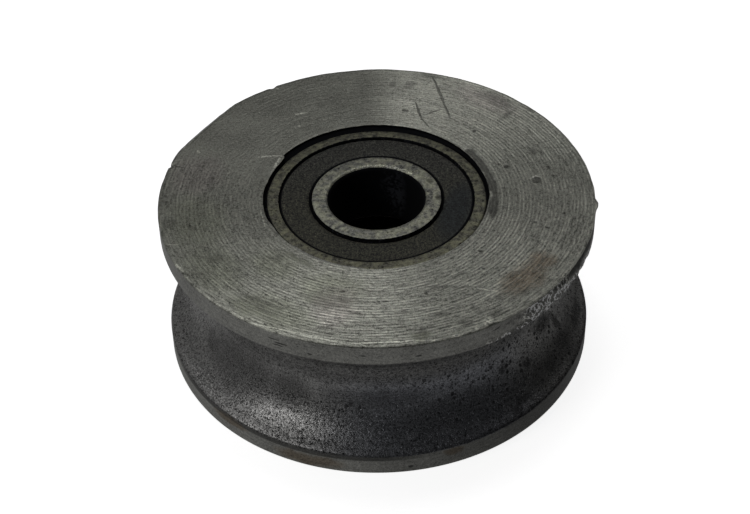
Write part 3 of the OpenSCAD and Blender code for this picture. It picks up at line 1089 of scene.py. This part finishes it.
# %% Wear the mouth of the seat
def wear_mouth(p):
    """Widens the seat's mouth at the back, and drags it over the ring at the front left."""
    wide = 0.62 * p.between(66, 144, 2.5) + 0.10 * p.between(176, 198, 6)
    wide = np.maximum(wide, 0.62 * np.clip((p.angle - 22) / 44, 0, 1) * (p.angle < 66))
    wide = wide - 0.24 * p.between(205, 350, 10) - 0.30 * p.between(226, 258, 8)
    wide = wide - 0.13 * p.between(149, 168, 2)
    wide = wide + 0.05 * p.rough(0.9, 5.0)
    hold = np.clip((seat_r + 4 - p.r) / 3.7, 0, 1) * (p.r > seat_r - 0.05)
    deep = (p.z > top_z - 0.6) & (p.z > 0)
    p.set(p.r + wide * hold * deep, p.z)


def shave_ledge(p):
    """A low step beside the bearing, where a chisel has been."""
    ledge = p.between(0, 37, 1.5) * (p.r < seat_r + 1.6) * (p.r > seat_r + 0.1)
    p.set(p.r, p.z - 0.10 * ledge * (p.z > top_z - 0.3))


wear_mouth(points)
shave_ledge(points)
print("narrowest point of the mouth %.2f" % points.r[abs(points.z - top_z) < 0.1].min())

# %% Nicks and burrs along the upper edge
def nick_edge(p):
    crest = np.clip(1 - np.hypot((wheel_r - p.r) / 1.0, (top_z - p.z) / 1.2), 0, 1)
    crest = crest * (p.z > 0)
    dents = (0.3 * p.near(120.5, 1.4) + 0.4 * p.near(165.6, 1.0) + 0.25 * p.near(299, 2.2)
             + 0.25 * p.near(192, 2.5) + 0.2 * p.near(211, 2.0))
    burr = 0.6 * p.near(354.7, 2.8)
    waves = 0.07 * p.rough(2.2, 2.0)
    p.set(p.r - crest * (dents - burr + waves), p.z - crest * (0.5 * dents + 0.5 * waves))


nick_edge(points)
points.write()
finish_piece(wheel, "wheel_body", "wheel")
print("wheel worn: radius now %.2f, top %.2f" % (points.r.max(), points.z.max()))

# %% [markdown]
# ## Bearing rings and seals
#
# The rings are turned the same way, from sections that follow the CAD rings: a flat land
# with rounded corners, a step for the seal and a round track for the balls. The seal is a
# flat rubber ring whose outer edge is rolled down and whose lip dips towards the inner
# ring. Those two dips and the black walls beside them are what reads as the two dark
# lines. The upper pieces are mirrored for the bearing in the lower face.

# %% Measure the tracks
middle = (ring_top + seat_floor) / 2
ring_in = ring_r.min()
track_r = ring_r[(abs(ring_z - middle) < 0.3) & (ring_r < seat_r - 1)].max()
land_out = ring_r[ring_z > ring_top - 0.01].max()
seal_top, seal_low = seal_corner_z.max(), seal_corner_z.min()
inner_out = inner_r.max()
inner_track = inner_r[(abs(inner_z - middle) < 0.3) & (inner_r > bore_r + 0.5)].min()
ball_low, ball_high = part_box("upper_ball_1")
ball_r = (ball_high.z - ball_low.z) / 2 / MM
print("tracks at %.2f and %.2f, balls of radius %.3f" % (inner_track, track_r, ball_r))


# %% A ball track and the other half of a section
def track(deep, shoulder, n=13):
    """Points of a ball track, from the lower shoulder to the upper one."""
    radius = ball_r * 1.05
    centre = deep - radius if deep > shoulder else deep + radius
    reach = math.acos(min(1.0, abs(shoulder - centre) / radius))
    way = 1 if deep > shoulder else -1
    return [(centre + way * radius * math.cos(a), middle + radius * math.sin(a))
            for a in np.linspace(-reach, reach, n)]


def mirrored(half):
    """A half section, and the same half turned over below it."""
    return half + [(r, 2 * middle - z) for r, z in half][::-1]


# %% Section of an outer ring
def outer_section():
    half = [(ring_in, seal_low), (snap_in, seal_low), (snap_in, ring_top - 0.15),
            (snap_in + 0.05, ring_top - 0.04), (snap_in + 0.16, ring_top)]
    half += spaced((snap_in + 0.5, ring_top), (land_out - 0.1, ring_top), 0.4)
    half += [(land_out - 0.1, ring_top), (land_out + 0.1, ring_top - 0.06),
             (land_out + 0.4, ring_top - 0.36), (seat_r - 0.06, ring_top - 0.56),
             (seat_r, ring_top - 0.8)]
    return track(track_r, ring_in) + mirrored(half)


print(len(outer_section()), "points in the outer ring's section")


# %% Section of an inner ring
def inner_section():
    half = [(inner_out, seal_low), (land_r, seal_low), (land_r, ring_top - 0.12),
            (land_r - 0.04, ring_top - 0.03), (land_r - 0.14, ring_top)]
    half += spaced((land_r - 0.45, ring_top), (bore_r + ring_bevel + 0.15, ring_top), 0.4)
    half += [(bore_r + ring_bevel + 0.15, ring_top), (bore_r + ring_bevel - 0.08, ring_top - 0.06),
             (bore_r + 0.24, ring_top - 0.34), (bore_r + 0.05, ring_top - 0.62),
             (bore_r, ring_top - 0.95)]
    return track(inner_track, inner_out) + mirrored(half)


print(len(inner_section()), "points in the inner ring's section")


# %% Section of an outside seal
def seal_section():
    top = [(snap_in - 0.01, seal_top - 0.5), (snap_in - 0.07, seal_top - 0.3),
           (snap_in - 0.2, seal_top - 0.1), (snap_in - 0.4, seal_top)]
    top += spaced((snap_in - 0.9, seal_top), (seal_in + 0.8, seal_top), 0.5)
    top += [(seal_in + 0.8, seal_top - 0.02), (seal_in + 0.45, seal_top - 0.16),
            (seal_in + 0.16, seal_top - 0.42), (seal_in, seal_top - 0.7)]
    return top + [(seal_in, seal_low), (snap_in - 0.01, seal_low)]


print(len(seal_section()), "points in the seal's section")


# %% Point the faces outwards
def orient(piece):
    """Makes the faces point outwards: the volume they enclose must come out positive."""
    mesh = piece.data
    mesh.calc_loop_triangles()
    co = np.empty(len(mesh.vertices) * 3)
    mesh.vertices.foreach_get("co", co)
    index = np.empty(len(mesh.loop_triangles) * 3, dtype=np.int32)
    mesh.loop_triangles.foreach_get("vertices", index)
    a, b, c = co.reshape(-1, 3)[index.reshape(-1, 3)].transpose(1, 0, 2)
    volume = (a * np.cross(b, c)).sum() / 6
    if volume < 0:
        mesh.flip_normals()
    return abs(volume) / MM ** 3


print("wheel: %.0f cubic millimetres" % orient(wheel))

# %% Turn the rings and seals
for side, sign in (("upper", 1), ("lower", -1)):
    inner_body = "axle_side" if side == "upper" else "lower_ring"
    for word, section, body, columns in (
            ("outer_ring", outer_section(), "wheel", 320),
            ("inner_ring", inner_section(), inner_body, 256),
            ("outside_seal", seal_section(), "wheel", 320)):
        slot = "seal_rubber" if "seal" in word else word + "_steel"
        finish = finish_of["seal" if "seal" in word else word]
        piece = turn("%s_%s_turned" % (side, word), [(r, sign * z) for r, z in section],
                     finish, columns, 0.03, 3.0, seed=sign * 4.0)
        volume = orient(piece)
        finish_piece(piece, "%s_%s" % (side, word), body)
        print("  %.0f cubic millimetres" % volume)

# %% [markdown]
# ## Triangles
#
# The dressed wheel's count of triangles.

# %% Count the triangles
triangles = sum(len(p.vertices) - 2 for p in wheel.data.polygons)
print("wheel: %d triangles" % triangles)
